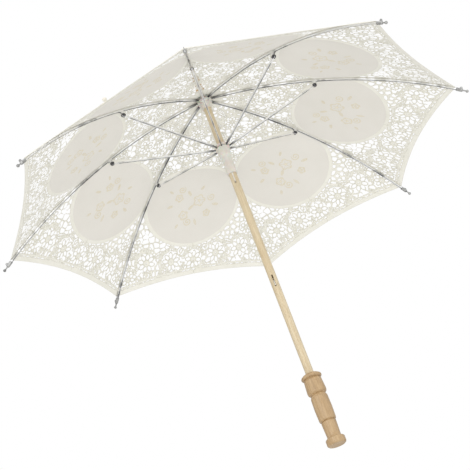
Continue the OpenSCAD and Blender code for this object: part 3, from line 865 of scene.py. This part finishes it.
# The embroidery's rim darkens the edges of its stitches with painted shade.
spray_thread = cotton(
    "warm_thread", (0.88, 0.83, 0.70), (0.85, 0.79, 0.65),
    threads=500, tone=60, rim=((0.84, 0.82, 0.76), 0.7),
)
spray_sheet = cut_from_pattern(
    spray_pattern, 1.0, stitch_low, stitch_high, (130.0, 240.0), panel_reach
)
for i in each_rib:
    piece = panel_piece(f"embroidery_{i}", spray_sheet, i, spray_thread)
    for soft in (lace_panels[i], oval_pieces[i], piece):
        fold_with_rib(soft)
        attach(soft, f"rib_{i}")


# ---- Crown cap ----
# A round of cotton with a pleated edge is threaded over the ferrule and covers the point
# where the eight gores meet.
cap_low, cap_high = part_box("crown_cap")
PLEATS = 24
PLEAT_SWELL = 0.03
PLEAT_LIFT = 0.35 * MM
PLEAT_FROM = 0.0075
PLEAT_GROWTH = 0.0097
CAP_CLOTH = 0.4 * MM
cap = bpy.data.meshes.new("pleated_cap")
cap_points, cap_faces = [], []
rings = ((0.0052, 0.9), (0.0075, 0.95), (0.0098, 0.75), (0.0125, 0.5), (0.015, 0.3), (0.0172, 0.12))
around = PLEATS * 8
for layer in (0, 1):
    for n, (r, rise) in enumerate(rings):
        for k in range(around):
            angle = 2 * math.pi * k / around
            wave = math.cos(PLEATS * angle)
            deep = max(0.0, (r - PLEAT_FROM) / PLEAT_GROWTH)
            radius = r * (1 + PLEAT_SWELL * deep * wave)
            z = cap_low.z + rise * (cap_high.z - cap_low.z) + PLEAT_LIFT * deep * wave - layer * CAP_CLOTH
            cap_points.append((radius * math.cos(angle), radius * math.sin(angle), z))
size = len(rings) * around
for n in range(len(rings) - 1):
    for k in range(around):
        a, b = n * around + k, n * around + (k + 1) % around
        c, d = a + around, b + around
        cap_faces.append((a, c, d, b))
        cap_faces.append((a + size, b + size, d + size, c + size))
for k in range(around):
    follow = (k + 1) % around
    last = (len(rings) - 1) * around
    cap_faces.append((k, follow, follow + size, k + size))
    cap_faces.append((last + follow, last + k, last + k + size, last + follow + size))
cap.from_pydata(cap_points, [], cap_faces)
cap_piece = link_piece("pleated_cap", cap, oval_cotton, crease=50)
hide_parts("crown_cap")
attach(cap_piece, "stick")

# ---- Closing button and loop ----
# A small cloth-covered button sits on one gore near the hem, and a loop of round elastic
# hangs from the hem below it. The loop goes round the closed canopy and over the button.
CLOSING_RIB = 6
loop_cord = cotton("elastic_cord", (0.86, 0.83, 0.74), (0.80, 0.77, 0.68), threads=1600)


def closing_piece(node, mesh):
    """Cloth over the button or cord of the loop; it moves with its gore's rib."""
    piece = link_piece(f"{node}_cloth", mesh, loop_cord)
    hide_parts(node)
    fold_with_rib(piece)
    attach(piece, f"rib_{CLOSING_RIB}")


button_low, button_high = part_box("closure_button")
button_at = (button_low + button_high) / 2
button_r = (button_high.z - button_low.z) / 2
GATHERS = 12
GATHER_DEPTH = 0.04
FLATTENED = 0.86
button_form = bmesh.new()
bmesh.ops.create_uvsphere(button_form, u_segments=32, v_segments=20, radius=button_r)
for vert in button_form.verts:
    puckers = GATHER_DEPTH * math.cos(GATHERS * math.atan2(vert.co.y, vert.co.x))
    gather = 1 + puckers * max(0.0, -vert.co.z / button_r)
    vert.co.x *= gather
    vert.co.y *= gather
    vert.co.z *= FLATTENED if vert.co.z > 0 else 1.0
    vert.co += button_at
button_mesh = bpy.data.meshes.new("closure_button_cloth")
button_form.to_mesh(button_mesh)
closing_piece("closure_button", button_mesh)

loop_source = nodes["closure_loop"].data
loop_low, loop_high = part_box("closure_loop")
loop_at = (loop_low + loop_high) / 2
loop_angle = (CLOSING_RIB - 0.5) * PITCH
loop_out = Vector((math.cos(loop_angle), math.sin(loop_angle), 0))
loop_across = Vector((-math.sin(loop_angle), math.cos(loop_angle), 0))
LOOP_R = 4.0 * MM
LOOP_CORD_R = 0.6 * MM
loop_points = [v.co - loop_at for v in loop_source.vertices]
loop_fall = min(p.z for p in loop_points) + LOOP_CORD_R
loop_reach = math.sqrt(max(0.0, LOOP_R**2 - loop_fall**2))
loop_down = (loop_out * loop_reach + Vector((0, 0, loop_fall))).normalized()
loop_normal = loop_across.cross(loop_down)
CORD_SIDES = 10
LOOP_STEPS = 72
STRANDS = 3
CORD_TWISTS = 20
STRAND_DEPTH = 0.06
loop_verts, loop_faces = [], []
for k in range(LOOP_STEPS):
    turn = 2 * math.pi * k / LOOP_STEPS
    out = loop_down * math.cos(turn) + loop_across * math.sin(turn)
    for n in range(CORD_SIDES):
        twist = 2 * math.pi * n / CORD_SIDES
        thick = LOOP_CORD_R * (1 + STRAND_DEPTH * math.cos(STRANDS * twist + CORD_TWISTS * turn))
        outward = out * (LOOP_R + thick * math.cos(twist))
        loop_verts.append(loop_at + outward + loop_normal * thick * math.sin(twist))
        a, b = k * CORD_SIDES + n, k * CORD_SIDES + (n + 1) % CORD_SIDES
        following = ((k + 1) % LOOP_STEPS) * CORD_SIDES
        c, d = following + n, following + (n + 1) % CORD_SIDES
        loop_faces.append((a, b, d, c))
loop_mesh = bpy.data.meshes.new("closure_loop_cloth")
loop_mesh.from_pydata(loop_verts, [], loop_faces)
closing_piece("closure_loop", loop_mesh)

# ---- Room ----
# A pale floor well under the parasol, a white room and three soft lamps.
floor_mesh = bpy.data.meshes.new("floor")
floor_half = 6.0
floor_z = -0.9
floor_mesh.from_pydata(
    [(-floor_half, -floor_half, floor_z), (floor_half, -floor_half, floor_z),
     (floor_half, floor_half, floor_z), (-floor_half, floor_half, floor_z)],
    [], [(0, 1, 2, 3)],
)
floor = bpy.data.objects.new("floor", floor_mesh)
floor_paint = bpy.data.materials.new("floor_paint")
floor_paint.use_nodes = True
floor_paint.node_tree.nodes["Principled BSDF"].inputs["Base Color"].default_value = (0.93, 0.93, 0.92, 1)
floor_paint.node_tree.nodes["Principled BSDF"].inputs["Roughness"].default_value = 0.9
floor_mesh.materials.append(floor_paint)
bpy.context.scene.collection.objects.link(floor)

room = bpy.data.worlds.new("room")
room.use_nodes = True
room_tree = room.node_tree
white_wall = room_tree.nodes["Background"]
white_wall.inputs["Color"].default_value = (1, 1, 1, 1)
soft_walls = room_tree.nodes.new("ShaderNodeBackground")
direction = room_tree.nodes.new("ShaderNodeTexCoord")
bright_side = room_tree.nodes.new("ShaderNodeVectorMath")
bright_side.operation = "DOT_PRODUCT"
bright_side.inputs[1].default_value = Vector((0.3, -0.95, 0.1)).normalized()
room_tree.links.new(direction.outputs["Generated"], bright_side.inputs[0])
wall_light = room_tree.nodes.new("ShaderNodeMapRange")
wall_light.inputs["From Min"].default_value = -1
wall_light.inputs["To Min"].default_value = 0.55
wall_light.inputs["To Max"].default_value = 1.5
room_tree.links.new(bright_side.outputs["Value"], wall_light.inputs["Value"])
room_tree.links.new(wall_light.outputs[0], soft_walls.inputs["Strength"])
seen = room_tree.nodes.new("ShaderNodeLightPath")
both = room_tree.nodes.new("ShaderNodeMixShader")
room_tree.links.new(seen.outputs["Is Camera Ray"], both.inputs["Fac"])
room_tree.links.new(soft_walls.outputs[0], both.inputs[1])
room_tree.links.new(white_wall.outputs[0], both.inputs[2])
room_tree.links.new(both.outputs[0], room_tree.nodes["World Output"].inputs["Surface"])
bpy.context.scene.world = room


def lamp(name, place, aim, power, width):
    data = bpy.data.lights.new(name, "AREA")
    data.energy = power
    data.size = width
    light = bpy.data.objects.new(name, data)
    light.location = place
    light.rotation_euler = (Vector(aim) - Vector(place)).to_track_quat("-Z", "Y").to_euler()
    light.visible_camera = False
    bpy.context.scene.collection.objects.link(light)


lamp("left_lamp", (-0.8, -2.0, 0.6), (0, 0, 0.3), 8, 1.2)
lamp("low_lamp", (0.35, -1.3, -0.75), (-0.2, 0, 0.42), 7, 1.6)
lamp("top_lamp", (-0.3, 0.4, 2.2), (0, 0, 0.4), 6, 1.4)
